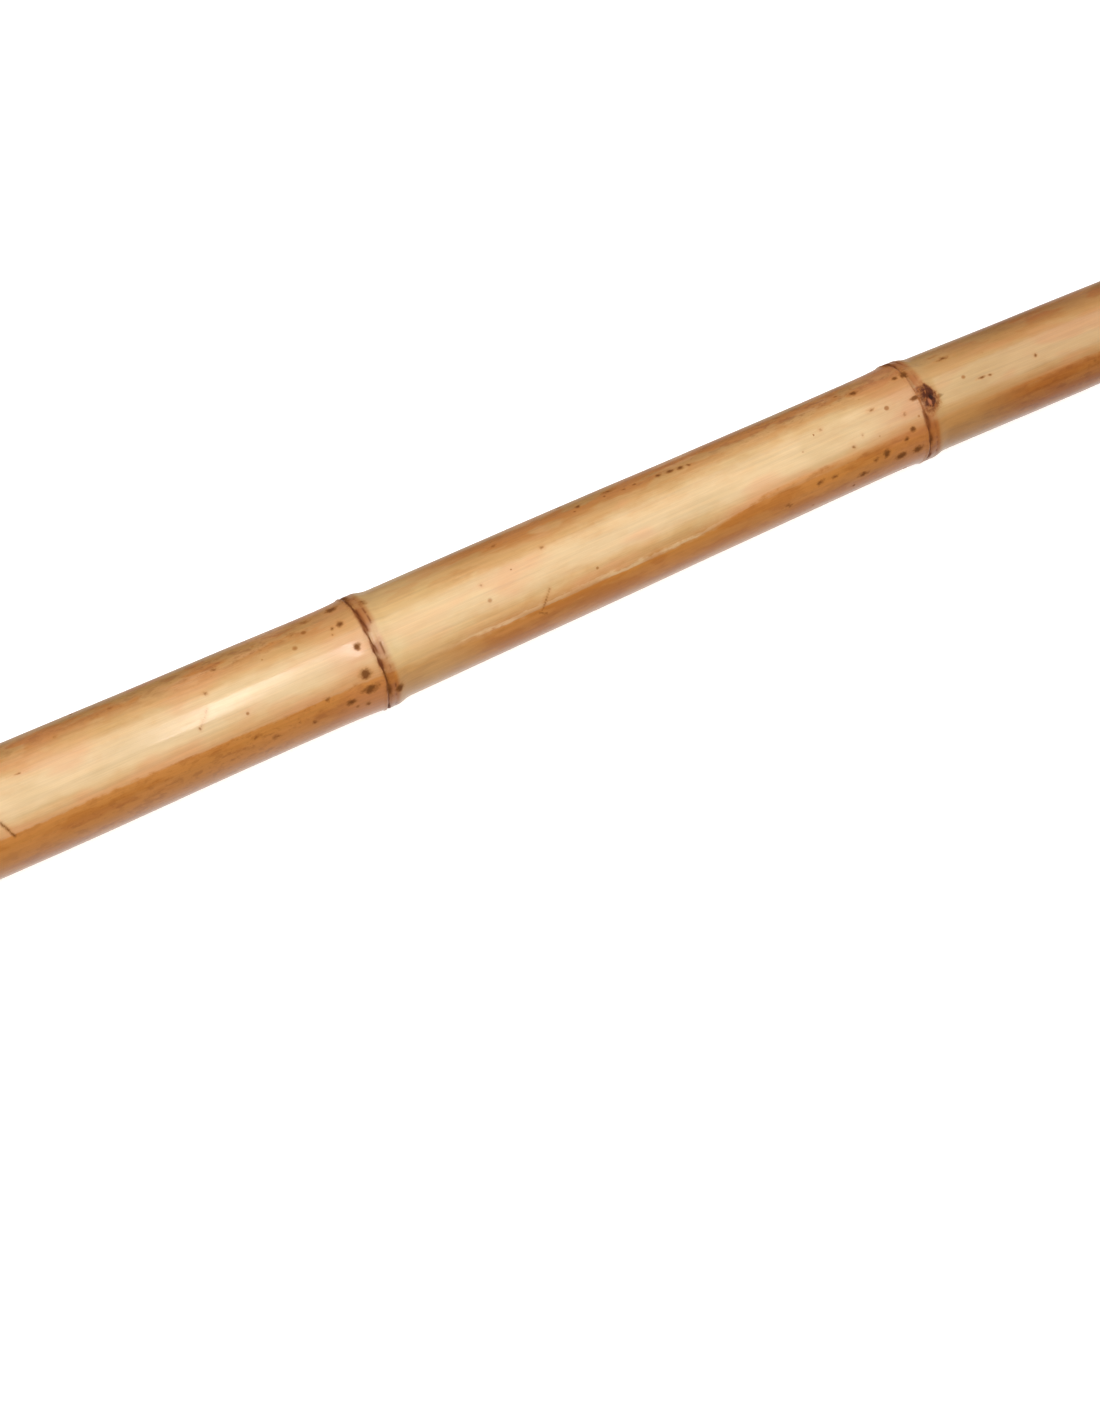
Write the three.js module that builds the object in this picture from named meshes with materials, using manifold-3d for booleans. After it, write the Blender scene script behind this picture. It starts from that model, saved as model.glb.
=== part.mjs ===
// A bamboo cane lying on its side: one culm, grown as one piece and sawn off at both ends.
//
// Millimetres, +Z up. The cane lies along X with its thick (butt) end at -X. The origin is the
// centre of the bottom face of its bounding box, so it rests on z = 0, on its node rings.
//
// Along the cane, a station is the distance from the butt's sawn face. The section is round, and
// slides sideways and up to follow the cane's axis: sideways because a cane bends a little at each
// node, up because every node ring touches the ground while the cane tapers.
import * as THREE from 'three';
import { mergeVertices } from 'three/addons/utils/BufferGeometryUtils.js';
import Module from 'manifold-3d';

// ---- Driving dimensions -------------------------------------------------------------------

const LENGTH = 900;
const BUTT_RADIUS = 21.4; // outside, between the nodes
const TIP_RADIUS = 15.4;
const BUTT_WALL = 6.5;
const TIP_WALL = 5.0;
const SIDES = 32;

// Each node: its ring's station, how far the axis turns there (degrees, towards +Y), and where its
// branch scar faces (degrees from straight up, towards -Y). Scars face opposite ways in turn.
const NODES = [
  { station: 60, turn: 1.2, scarFaces: 208 },
  { station: 210, turn: 1.0, scarFaces: 28 },
  { station: 388, turn: 0.7, scarFaces: 208 },
  { station: 598, turn: -1.7, scarFaces: 28 },
  { station: 830, turn: 1.7, scarFaces: 208 },
];
const BUTT_HEADING = -1.85; // of the axis at the butt, in degrees from +X

// The swelling at a node: the wall flares gently up to the ring from the butt side, stays level
// over the ridge, then steps down to a slight neck on the tip side.
const RING_HEIGHT = 0.8;
const FLARE_LENGTH = 5.5;
const RIDGE_LENGTH = 3;
const STEP_LENGTH = 3;
const NECK_DEPTH = 0.25;
const NECK_LENGTH = 30;

// The rings of the outside surface that shape one node, by distance past the node's ring.
const RING_OFFSETS = [-26, -15, -9, -5, -2, 0, RIDGE_LENGTH, 4.5, 6, 8, 12, 22, 40];

// The hollow at each sawn end, closed by the nearest node's diaphragm.
const DIAPHRAGM_SETBACK = 2; // from the node's ring to the diaphragm's face
const DIAPHRAGM_FILLET = 4;
const FILLET_STEPS = 4;
const SAWN_EDGE = 0.5; // worn edge of the sawn faces

// The stub that is left where a branch was trimmed off: an oval dome on the ridge.
const SCAR_OFFSET = 2.5; // past the node's ring
const SCAR_HALF_LENGTH = 3.5;
const SCAR_HALF_WIDTH = 4.5;
const SCAR_HALF_DEPTH = 2.0;
const SCAR_PROUD = 0.8;
const SCAR_SIDES = 14;
const SCAR_BANDS = 8;

// Points closer than this are joined into one.
const WELD_DISTANCE = 1e-4;

// ---- The culm's shape, by station ---------------------------------------------------------

const between = (start, end, station) => start + (end - start) * station / LENGTH;

function swelling(past) {
  if (past <= 0) {
    return RING_HEIGHT * Math.exp(past / FLARE_LENGTH);
  }
  if (past <= RIDGE_LENGTH) {
    return RING_HEIGHT;
  }
  const beyond = past - RIDGE_LENGTH;
  const step = (RING_HEIGHT + NECK_DEPTH) * Math.exp(-((beyond / STEP_LENGTH) ** 2));
  return step - NECK_DEPTH * Math.exp(-beyond / NECK_LENGTH);
}

function nearestNode(station) {
  const distance = (node) => Math.abs(node.station - station);
  return NODES.reduce((best, node) => (distance(node) < distance(best) ? node : best));
}

function outerRadius(station) {
  return between(BUTT_RADIUS, TIP_RADIUS, station) + swelling(station - nearestNode(station).station);
}

function hollowRadius(station) {
  return between(BUTT_RADIUS - BUTT_WALL, TIP_RADIUS - TIP_WALL, station);
}

// The axis is straight between nodes and turns at each one.
function axisSideways(station) {
  let heading = BUTT_HEADING;
  let from = 0;
  let sideways = 0;
  for (const node of NODES) {
    const to = Math.min(station, node.station);
    sideways += (to - from) * Math.tan(THREE.MathUtils.degToRad(heading));
    from = to;
    heading += node.turn;
  }
  return sideways + (station - from) * Math.tan(THREE.MathUtils.degToRad(heading));
}

// The lowest facet of every ridge lies flat on z = 0.
function axisHeight(station) {
  const facetDistance = Math.cos(Math.PI / SIDES);
  return (between(BUTT_RADIUS, TIP_RADIUS, station) + RING_HEIGHT) * facetDistance;
}

// ---- The culm -----------------------------------------------------------------------------

// The hollow's profile, from the middle of its diaphragm, round the fillet and out to its mouth.
function hollowProfile(floorStation, mouthStation) {
  const inward = Math.sign(floorStation - mouthStation);
  const wall = hollowRadius(floorStation);
  const points = [new THREE.Vector2(0, floorStation)];
  for (let step = 0; step <= FILLET_STEPS; step += 1) {
    const angle = (step / FILLET_STEPS) * Math.PI / 2;
    const radius = wall - DIAPHRAGM_FILLET * (1 - Math.sin(angle));
    const station = floorStation - inward * DIAPHRAGM_FILLET * (1 - Math.cos(angle));
    points.push(new THREE.Vector2(radius, station));
  }
  points.push(new THREE.Vector2(hollowRadius(mouthStation), mouthStation));
  return points;
}

function outsideProfile() {
  const stations = NODES.flatMap((node) => RING_OFFSETS.map((offset) => node.station + offset));
  const points = stations.map((station) => new THREE.Vector2(outerRadius(station), station));
  return [
    new THREE.Vector2(outerRadius(0) - SAWN_EDGE, 0),
    new THREE.Vector2(outerRadius(SAWN_EDGE), SAWN_EDGE),
    ...points,
    new THREE.Vector2(outerRadius(LENGTH - SAWN_EDGE), LENGTH - SAWN_EDGE),
    new THREE.Vector2(outerRadius(LENGTH) - SAWN_EDGE, LENGTH),
  ];
}

function culmGeometry() {
  const firstFloor = NODES[0].station - DIAPHRAGM_SETBACK;
  const lastFloor = NODES[NODES.length - 1].station + DIAPHRAGM_SETBACK;
  const profile = [
    ...hollowProfile(firstFloor, 0),
    ...outsideProfile(),
    ...hollowProfile(lastFloor, LENGTH).reverse(),
  ];
  // The lathe turns the profile about +Y. Half a side of turn puts flat facets at the bottom.
  const geometry = new THREE.LatheGeometry(profile, SIDES, Math.PI / SIDES);
  const position = geometry.attributes.position;
  for (let i = 0; i < position.count; i += 1) {
    const station = position.getY(i);
    const y = position.getZ(i) + axisSideways(station);
    const z = position.getX(i) + axisHeight(station);
    position.setXYZ(i, station, y, z);
  }
  return geometry;
}

// ---- Branch scars -------------------------------------------------------------------------

function scarGeometry(node) {
  const station = node.station + SCAR_OFFSET;
  const facing = THREE.MathUtils.degToRad(node.scarFaces);
  const depth = outerRadius(station) + SCAR_PROUD - SCAR_HALF_DEPTH;
  const geometry = new THREE.SphereGeometry(1, SCAR_SIDES, SCAR_BANDS);
  geometry.scale(SCAR_HALF_LENGTH, SCAR_HALF_WIDTH, SCAR_HALF_DEPTH);
  geometry.translate(0, 0, depth);
  geometry.rotateX(facing);
  geometry.translate(station, axisSideways(station), axisHeight(station));
  return geometry;
}

// ---- Joining ------------------------------------------------------------------------------

const wasm = await Module();
wasm.setup();

// Lathes and spheres close on their axis with triangles of no area, which are left out.
function withoutEmptyTriangles(index) {
  const kept = [];
  for (let i = 0; i < index.length; i += 3) {
    const [a, b, c] = [index[i], index[i + 1], index[i + 2]];
    if (a !== b && b !== c && c !== a) {
      kept.push(a, b, c);
    }
  }
  return new Uint32Array(kept);
}

function toSolid(geometry) {
  const bare = geometry.clone();
  bare.deleteAttribute('normal');
  bare.deleteAttribute('uv');
  const merged = mergeVertices(bare, WELD_DISTANCE);
  return new wasm.Manifold(new wasm.Mesh({
    numProp: 3,
    vertProperties: new Float32Array(merged.attributes.position.array),
    triVerts: withoutEmptyTriangles(merged.index.array),
  }));
}

function toGeometry(solid) {
  const mesh = solid.getMesh();
  const geometry = new THREE.BufferGeometry();
  geometry.setAttribute('position', new THREE.BufferAttribute(mesh.vertProperties, 3));
  geometry.setIndex(new THREE.BufferAttribute(mesh.triVerts, 1));
  geometry.computeVertexNormals();
  return geometry;
}

function caneGeometry() {
  const culm = toSolid(culmGeometry());
  const solid = NODES.reduce((whole, node) => whole.add(toSolid(scarGeometry(node))), culm);
  return toGeometry(solid);
}

// ---- The part -----------------------------------------------------------------------------

const bamboo = new THREE.MeshStandardMaterial({ color: 0xe2b779, roughness: 0.35, metalness: 0 });

const cane = new THREE.Mesh(caneGeometry(), bamboo);
cane.name = 'cane';
cane.geometry.computeBoundingBox();
const box = cane.geometry.boundingBox;
cane.position.set(-(box.min.x + box.max.x) / 2, -(box.min.y + box.max.y) / 2, -box.min.z);

const part = new THREE.Group();
part.add(cane);

export default part;
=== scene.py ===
"""A dried bamboo cane lying on a pale studio floor.

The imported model's one node, the cane, is replaced by one fine closed mesh of the same shape and
size, with three materials: the waxy skin, the sawn faces and the lining of the open ends.

The cane's shape is worked out in millimetres, by station (distance along the cane from its thick,
butt end) and by facing (the angle round the cane from straight up, towards -Y), and is turned into
metres when the mesh is made.
"""

import math

import bpy
import numpy as np
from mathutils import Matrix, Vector


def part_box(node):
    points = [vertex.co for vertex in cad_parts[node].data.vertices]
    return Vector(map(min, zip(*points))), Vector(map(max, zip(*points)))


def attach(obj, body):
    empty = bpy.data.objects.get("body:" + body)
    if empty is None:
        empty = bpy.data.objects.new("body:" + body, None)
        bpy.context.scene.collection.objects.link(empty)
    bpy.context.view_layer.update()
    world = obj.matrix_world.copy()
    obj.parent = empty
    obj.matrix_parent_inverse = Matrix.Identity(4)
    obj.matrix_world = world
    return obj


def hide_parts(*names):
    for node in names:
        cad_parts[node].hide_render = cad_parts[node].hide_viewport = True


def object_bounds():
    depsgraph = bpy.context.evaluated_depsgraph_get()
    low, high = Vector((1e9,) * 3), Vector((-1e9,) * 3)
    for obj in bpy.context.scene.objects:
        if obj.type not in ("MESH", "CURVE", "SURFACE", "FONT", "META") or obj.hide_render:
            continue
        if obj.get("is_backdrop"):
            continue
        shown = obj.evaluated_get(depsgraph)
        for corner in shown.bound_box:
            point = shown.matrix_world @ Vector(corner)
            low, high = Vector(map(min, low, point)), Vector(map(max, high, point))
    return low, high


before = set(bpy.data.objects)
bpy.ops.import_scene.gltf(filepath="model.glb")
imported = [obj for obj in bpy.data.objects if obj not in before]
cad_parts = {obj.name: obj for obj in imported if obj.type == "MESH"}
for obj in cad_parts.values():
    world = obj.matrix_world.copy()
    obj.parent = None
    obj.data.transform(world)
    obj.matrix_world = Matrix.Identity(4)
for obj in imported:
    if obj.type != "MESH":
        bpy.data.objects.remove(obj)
cad_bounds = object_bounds()

MM = 0.001
TURN = 2 * math.pi

# ---- The cane's driving dimensions, in millimetres and degrees ------------------------------

CANE_LOW, CANE_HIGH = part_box("cane")
LENGTH = (CANE_HIGH.x - CANE_LOW.x) / MM
BUTT_RADIUS = 21.4
TIP_RADIUS = 15.4
BUTT_WALL = 6.5
TIP_WALL = 5.0

# (station of the node's ring, turn of the axis there, where its branch scar faces)
NODES = [(60, 1.2, 208), (210, 1.0, 28), (388, 0.7, 208), (598, -1.7, 28), (830, 1.7, 208)]
BUTT_HEADING = -1.85

RING_HEIGHT = 0.8
FLARE_LENGTH = 5.5
RIDGE_LENGTH = 3.0
STEP_LENGTH = 3.0
NECK_DEPTH = 0.25
NECK_LENGTH = 30.0
RING_WOBBLE = 0.35
WOBBLE_REACH = 25.0

# A lip and two grooves beside each ring: (distance past the ring, width, height).
LIP = (-1.5, 0.5, 0.3)
GROOVE = (-0.6, 0.45, -0.3)
SECOND_GROOVE = (2.0, 0.4, -0.12)

# The scar of a trimmed branch: a low dome under a torn rim round a pit and a pale core. Each lump
# is (distance along, distance round, half length, half width, height).
SCAR_OFFSET = 2.5
SCAR_DOME = (0.0, 0.3, 3.6, 5.0, 0.45)
SCAR_RIM = [
    (0.0, -2.8, 1.5, 1.4, 0.6),
    (-1.8, -1.4, 1.0, 1.2, 0.5),
    (-1.7, 0.9, 0.8, 1.5, 0.4),
    (-1.5, 2.9, 1.0, 1.1, 0.45),
    (0.3, 3.9, 1.0, 1.1, 0.5),
    (1.7, 1.6, 0.9, 1.2, 0.35),
    (2.2, -1.2, 1.0, 1.1, 0.4),
]
SCAR_PIT = (1.1, 0.0, 1.2, 1.3, -0.9)
SCAR_CORE = (-0.4, 1.5, 0.9, 1.4, 0.3)
SCAR_SPUR = (4.2, 0.9, 1.7, 0.6, 0.12)
SCAR_REACH = (3.1, 4.4)  # how far its dark, torn fibres reach
RIM_LEAST, RIM_VARIES = 0.7, 0.6  # how much of its height the torn rim keeps

# What makes the culm slightly uneven.
OVAL_HEIGHT = 0.12
OVAL_TWIST = 150  # the oval turns slowly along the cane: half a radian in this length
UNEVEN_HEIGHT = 0.09
LUMPY_HEIGHT = 0.025

# Fields of random ripples: (how many, shortest and longest along the cane, most times round it).
RING_RIPPLES = (5, 100, 200, 6)
UNEVEN_RIPPLES = (12, 60, 260, 3)
LUMPY_RIPPLES = (16, 14, 50, 9)
MOUTH_RIPPLES = (6, 50, 90, 7)
LINING_RIPPLES = (10, 8, 40, 24)

# The sawn ends: their worn edges, and the short splinters that are gone from their rims.
SAWN_EDGE = 0.4
SAWN_EDGE_LENGTH = 0.3
RIM_WORN, RIM_WAVES = 0.12, 0.06
CHIPS = 8
CHIP_HALF_WIDTHS = (0.04, 0.1)  # in radians
CHIP_DEPTHS = (0.2, 0.8)
CHIP_FADE = 1.1  # how far along the skin its rows bend round the chips
SAWN_SETBACK = 0.1
SAWN_EDGE_SHARE = 0.05  # how much of the wall's thickness the rim's broken edge takes up
SAWN_WAVES, SAW_MARKS = 0.05, 0.04

# The hollow behind each sawn face, down to the diaphragm of the nearest node.
MOUTH_UNEVEN = 0.25
MOUTH_EDGE = (0.45, 0.3)  # how deep and how far in
LINING_INSET = 0.35
WRINKLE_HEIGHT = 0.12
DIAPHRAGM_SETBACK = 2.0
DIAPHRAGM_FILLET = 4.0
DISH_DEPTH = 0.9
DISH_WAVES = 0.12

# The mesh: fine rings near the nodes, and fine columns in the two directions that scars face.
NODE_SPACINGS = [(-12, -3, 0.55), (-3, 8.6, 0.35), (8.6, 13, 0.6)]  # (from, to, spacing)
END_STATIONS = [0.0, 0.2, 0.5, 0.9, 1.5, 2.4, 3.6, 5.5]
INTERNODE_SPACING = 4.5
COLUMN_STEP = 2.4
FINE_COLUMN_STEP = 1.1
FINE_COLUMN_REACH = 14
SAWN_SHARES = (0.06, 0.14, 0.25, 0.38, 0.52, 0.66, 0.8, 0.92, 1.0)  # across the wall, from outside
LINING_START, LINING_SPACING = 2.0, 2.5
FILLET_STEPS = 6
DISH_SHARES = (0.85, 0.68, 0.5, 0.33, 0.16)  # across the diaphragm, from outside
SHARP_ANGLE = 50

# Its surface is unrolled into this many strips for texture baking.
BAKE_STRIPS = 3
BAKE_MARGIN = 0.01

NOMINAL_RADIUS = 18.0  # of the straight, even cylinder that the skin's pattern is painted on

# Seeds of the random draws.
WOBBLE_SEED = 11
SURFACE_SEED = 7
CHIP_SEED = 3
END_SEED = 5

stations_of_nodes = np.array([node[0] for node in NODES], float)


# ---- The cane's shape -----------------------------------------------------------------------

def hump(x, width):
    return np.exp(-((x / width) ** 2))


def ripples(rng, station, facing, count, shortest, longest, most_round):
    """A smooth random field of about unit height, which joins up round the cane."""
    field = np.zeros(np.broadcast(station, facing).shape)
    for _ in range(count):
        length = rng.uniform(shortest, longest)
        order = rng.integers(0, most_round + 1)
        phase = rng.uniform(0, TURN, 2)
        field += np.sin(TURN * station / length + phase[0]) * np.cos(order * facing + phase[1])
    return field / math.sqrt(count)


def base_radius(station):
    return BUTT_RADIUS + (TIP_RADIUS - BUTT_RADIUS) * station / LENGTH


def hollow_radius(station):
    butt, tip = BUTT_RADIUS - BUTT_WALL, TIP_RADIUS - TIP_WALL
    return butt + (tip - butt) * station / LENGTH


def axis_sideways(station):
    """The axis is straight between nodes and turns at each one."""
    knots, sideways = [0.0], [0.0]
    heading = BUTT_HEADING
    for at, turn in [(node[0], node[1]) for node in NODES] + [(LENGTH, 0)]:
        sideways.append(sideways[-1] + (at - knots[-1]) * math.tan(math.radians(heading)))
        knots.append(at)
        heading += turn
    return np.interp(station, knots, sideways)


def axis_height(station):
    return base_radius(station) + RING_HEIGHT


def nearest_node(station):
    return np.abs(station[..., None] - stations_of_nodes).argmin(-1)


def wobble(station, facing):
    """How far each node's ring wavers along the cane, round it; it dies away between nodes."""
    rng = np.random.default_rng(WOBBLE_SEED)
    which = nearest_node(station)
    total = np.zeros(np.broadcast(station, facing).shape)
    for node in range(len(NODES)):
        wave = ripples(rng, 0 * station, facing, *RING_RIPPLES)
        total += np.where(which == node, RING_WOBBLE * wave, 0)
    return total * hump(station - stations_of_nodes[which], WOBBLE_REACH)


def swelling(past):
    """How far a node stands out, by distance past its ring."""
    flare = RING_HEIGHT * np.exp(np.minimum(past, 0) / FLARE_LENGTH)
    beyond = np.maximum(past - RIDGE_LENGTH, 0)
    step = (RING_HEIGHT + NECK_DEPTH) * hump(beyond, STEP_LENGTH)
    neck = NECK_DEPTH * np.exp(-beyond / NECK_LENGTH)
    height = np.where(past <= 0, flare, np.where(beyond > 0, step - neck, RING_HEIGHT))
    for at, width, rise in (LIP, GROOVE, SECOND_GROOVE):
        height += rise * hump(past - at, width)
    return height


def lump_height(lump, along, round_):
    at_along, at_round, half_length, half_width, height = lump
    return height * hump(along - at_along, half_length) * hump(round_ - at_round, half_width)


def scar_height(station, facing, past):
    """A trimmed branch's stub, at the nearest node."""
    which = nearest_node(station)
    faces = np.radians([node[2] for node in NODES])[which]
    along = past - SCAR_OFFSET
    round_ = ((facing - faces + math.pi) % TURN - math.pi) * base_radius(station)
    # Waves about 2 mm long that cross each other tear the rim.
    torn = 0.5 + 0.5 * np.sin(2.9 * along + 1.3 * np.sin(2.1 * round_)) * np.sin(3.3 * round_ + 1)
    total = lump_height(SCAR_DOME, along, round_) + lump_height(SCAR_SPUR, along, round_)
    total += lump_height(SCAR_PIT, along, round_) + lump_height(SCAR_CORE, along, round_)
    for lump in SCAR_RIM:
        total += lump_height(lump, along, round_) * (RIM_LEAST + RIM_VARIES * torn)
    return total


def outer_radius(station, facing):
    """The outside with its nodes, scars and unevenness."""
    rng = np.random.default_rng(SURFACE_SEED)
    past = station - stations_of_nodes[nearest_node(station)] - wobble(station, facing)
    uneven = UNEVEN_HEIGHT * ripples(rng, station, facing, *UNEVEN_RIPPLES)
    lumpy = LUMPY_HEIGHT * ripples(rng, station, facing, *LUMPY_RIPPLES)
    oval = OVAL_HEIGHT * np.cos(2 * facing + station / OVAL_TWIST)
    scar = scar_height(station, facing, past)
    return base_radius(station) + swelling(past) + uneven + lumpy + oval + scar


# ---- The cane's mesh ------------------------------------------------------------------------

def facings():
    """The columns of the mesh: one turn, with finer steps where a branch scar can face."""
    start, end = FINE_COLUMN_REACH, 180 - FINE_COLUMN_REACH
    half = np.concatenate([
        np.arange(-FINE_COLUMN_REACH, start, FINE_COLUMN_STEP),
        np.linspace(start, end, round((end - start) / COLUMN_STEP), endpoint=False),
    ])
    first_scar = NODES[1][2]
    return np.radians(np.concatenate([half, half + 180]) + first_scar)


def outside_stations():
    """The rings of the outside, from the butt to the tip: fine ones at nodes and ends."""
    fine = np.concatenate([np.arange(*spacing) for spacing in NODE_SPACINGS])
    at_end = np.array(END_STATIONS)
    dense = [at_end] + [at + fine for at in stations_of_nodes] + [LENGTH - at_end[::-1]]
    pieces = [dense[0]]
    for before, after in zip(dense, dense[1:]):
        gap = after[0] - before[-1]
        count = math.ceil(gap / INTERNODE_SPACING)
        pieces += [np.linspace(before[-1], after[0], count + 1)[1:-1], after]
    return np.concatenate(pieces)


def chips(rng, facing):
    """How far the sawn rim is broken back round the cane: a few short splinters gone."""
    depth = RIM_WORN + RIM_WAVES * np.sin(7 * facing + 1)
    for _ in range(CHIPS):
        at = rng.uniform(0, TURN)
        half_width = rng.uniform(*CHIP_HALF_WIDTHS)
        most = rng.uniform(*CHIP_DEPTHS)
        away = (facing - at + math.pi) % TURN - math.pi
        depth += most * np.clip(1 - np.abs(away / half_width), 0, 1)
    return depth


def skin_rows(facing):
    """Rows of (station, radius) from the butt's rim to the tip's, broken back at both rims."""
    rng = np.random.default_rng(CHIP_SEED)
    butt_chips = chips(rng, facing)
    tip_chips = chips(rng, facing)
    rows = []
    for at in outside_stations():
        from_tip = LENGTH - at
        at_butt, at_tip = math.exp(-at / CHIP_FADE), math.exp(-from_tip / CHIP_FADE)
        station = at + butt_chips * at_butt - tip_chips * at_tip
        worn = math.exp(-at / SAWN_EDGE_LENGTH) + math.exp(-from_tip / SAWN_EDGE_LENGTH)
        rows.append((station, outer_radius(station, facing) - SAWN_EDGE * worn))
    return rows


def sawn_rows(rng, facing, mouth, inward, inner, rim):
    """Rows across a sawn face, from the rim to the hollow's mouth."""
    rim_station, rim_radius = rim
    for share in SAWN_SHARES:
        waves = SAWN_WAVES * np.sin(facing * 3 + share * 25)
        saw_marks = waves + SAW_MARKS * rng.normal(size=facing.size)
        station = mouth + inward * (SAWN_SETBACK + saw_marks)
        blend = math.exp(-share / SAWN_EDGE_SHARE)
        radius = rim_radius + (inner - rim_radius) * share
        yield station + (rim_station - station) * blend, radius, "sawn"


def lining_rows(rng, facing, mouth, floor, inward, inner):
    """Rows down a hollow and over its diaphragm."""
    level = 0 * facing
    edge_depth, edge_inset = MOUTH_EDGE
    yield mouth + inward * (edge_depth + level), inner - edge_inset, "lining"
    wall = inner - LINING_INSET
    wall_end = abs(floor - mouth) - DIAPHRAGM_FILLET
    for deep in np.arange(LINING_START, wall_end, LINING_SPACING):
        wrinkles = WRINKLE_HEIGHT * ripples(rng, deep + level, facing, *LINING_RIPPLES)
        yield mouth + inward * (deep + level), wall + wrinkles, "lining"
    for step in range(1, FILLET_STEPS + 1):
        angle = step / FILLET_STEPS * math.pi / 2
        station = floor - inward * DIAPHRAGM_FILLET * (1 - math.sin(angle))
        yield station + level, wall - DIAPHRAGM_FILLET * (1 - math.cos(angle)), "lining"
    for share in DISH_SHARES:
        dish = DISH_DEPTH * (1 - share**2) + DISH_WAVES * np.sin(facing * 2 + share * 9)
        yield floor + inward * dish, (wall - DIAPHRAGM_FILLET) * share, "lining"


def end_rows(facing, mouth, floor, rim):
    """Rows from one sawn rim inwards: across the sawn face, down the hollow, over the diaphragm.

    Yields (station, radius, material) for each row, with rim the last row of the skin.
    """
    rng = np.random.default_rng(int(mouth) + END_SEED)
    inward = 1 if floor > mouth else -1
    uneven = MOUTH_UNEVEN * ripples(rng, 0 * facing, facing, *MOUTH_RIPPLES)
    inner = hollow_radius(mouth) + uneven
    yield from sawn_rows(rng, facing, mouth, inward, inner, rim)
    yield from lining_rows(rng, facing, mouth, floor, inward, inner)


def cane_rows(facing):
    """Every row of the closed surface, from the butt's diaphragm over the outside to the tip's."""
    skin = skin_rows(facing)
    butt_floor = stations_of_nodes[0] - DIAPHRAGM_SETBACK
    tip_floor = stations_of_nodes[-1] + DIAPHRAGM_SETBACK
    butt = list(end_rows(facing, 0.0, butt_floor, skin[0]))[::-1]
    tip = list(end_rows(facing, LENGTH, tip_floor, skin[-1]))
    return butt + [(station, radius, "skin") for station, radius in skin] + tip


def grid_faces(rows, columns):
    """Quads between neighbouring rows, and a fan at each end, facing out."""
    row, column = np.meshgrid(np.arange(rows - 1), np.arange(columns), indexing="ij")
    following = (column + 1) % columns
    low, high = row * columns, (row + 1) * columns
    quads = np.stack([low + column, high + column, high + following, low + following], -1)
    around = [(c, (c + 1) % columns) for c in range(columns)]
    last = (rows - 1) * columns
    first_centre, last_centre = rows * columns, rows * columns + 1
    fans = [(first_centre, a, b) for a, b in around]
    fans += [(last_centre, last + b, last + a) for a, b in around]
    return quads.reshape(-1, 4).tolist() + fans


def set_attribute(mesh, name, kind, values):
    attribute = mesh.attributes.new(name, kind, "POINT")
    field = "vector" if kind == "FLOAT_VECTOR" else "value"
    attribute.data.foreach_set(field, np.ascontiguousarray(values, np.float32).ravel())


def add_bake_map(mesh, station, radius, facing):
    """Unrolls the surface, from one diaphragm's centre to the other's, into strips of a square."""
    lengths = np.hypot(np.diff(station.mean(1)), np.diff(radius.mean(1)))
    along = radius[0].mean() + np.concatenate([[0], np.cumsum(lengths)])
    total = along[-1] + radius[-1].mean()
    along = along / total * BAKE_STRIPS
    share = np.append((facing - facing[0]) / TURN, 1.0)

    def placed_in_strip(strip, x, y):
        """Map places in a strip, from x along the surface, in strips, and y, the share round it."""
        u = BAKE_MARGIN + (x - strip) * (1 - 2 * BAKE_MARGIN)
        v = (strip + BAKE_MARGIN + y * (1 - 2 * BAKE_MARGIN)) / BAKE_STRIPS
        return np.stack(np.broadcast_arrays(u, v), -1)

    low, high = along[:-1, None], along[1:, None]
    left, right = share[None, :-1], share[None, 1:]
    strip = np.floor((low + high) / 2)
    corners = [(low, left), (high, left), (high, right), (low, right)]
    quads = np.stack([placed_in_strip(strip, x, y) for x, y in corners], 2)

    # The fans at the two ends, in the order of grid_faces.
    middle = (share[:-1] + share[1:]) / 2
    near, far = along[0], along[-1]
    first = [(0 * middle, middle), (near, share[:-1]), (near, share[1:])]
    last = [(BAKE_STRIPS + 0 * middle, middle), (far, share[1:]), (far, share[:-1])]
    first_fan = np.stack([placed_in_strip(0, x, y) for x, y in first], 1)
    last_fan = np.stack([placed_in_strip(BAKE_STRIPS - 1, x, y) for x, y in last], 1)
    places = np.concatenate([part.reshape(-1, 2) for part in (quads, first_fan, last_fan)])
    bake_map = mesh.uv_layers.new(name="OFBake")
    bake_map.uv.foreach_set("vector", places.astype(np.float32).ravel())


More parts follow.
